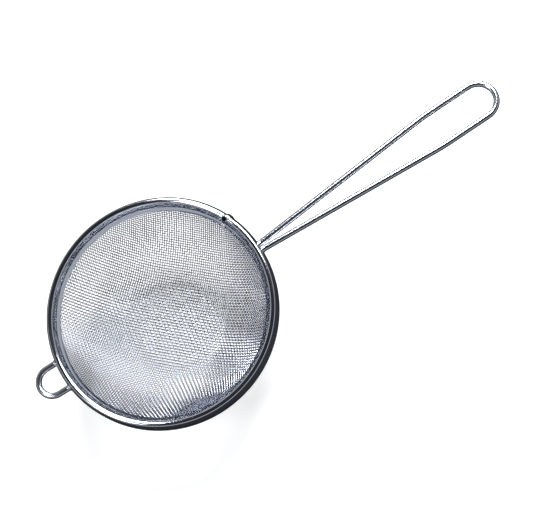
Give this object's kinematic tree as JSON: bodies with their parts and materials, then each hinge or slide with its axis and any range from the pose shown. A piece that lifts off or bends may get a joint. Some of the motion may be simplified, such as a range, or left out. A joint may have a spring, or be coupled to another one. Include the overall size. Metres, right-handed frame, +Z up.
{
  "type": "tea strainer",
  "caption": "Handheld tea strainer: a round woven wire bowl in a folded steel rim, with a long looped wire handle and a small wire rest hook opposite it.",
  "frame": {"origin": "centre of the bowl's flat bottom, on its underside", "axes": "+X along the handle away from the bowl, +Z up out of the bowl's open side"},
  "size_m": [0.1623, 0.07, 0.0254],
  "materials": {
    "mesh_bowl": "bright drawn wire, woven",
    "rim_band": "polished",
    "handle_wire": "polished",
    "rest_hook": "polished"
  },
  "bodies": {
    "root": {"mesh_bowl": "mesh_bowl", "rim_band": "rim_band", "handle_wire": "handle_wire", "rest_hook": "rest_hook"}
  },
  "joints": []
}
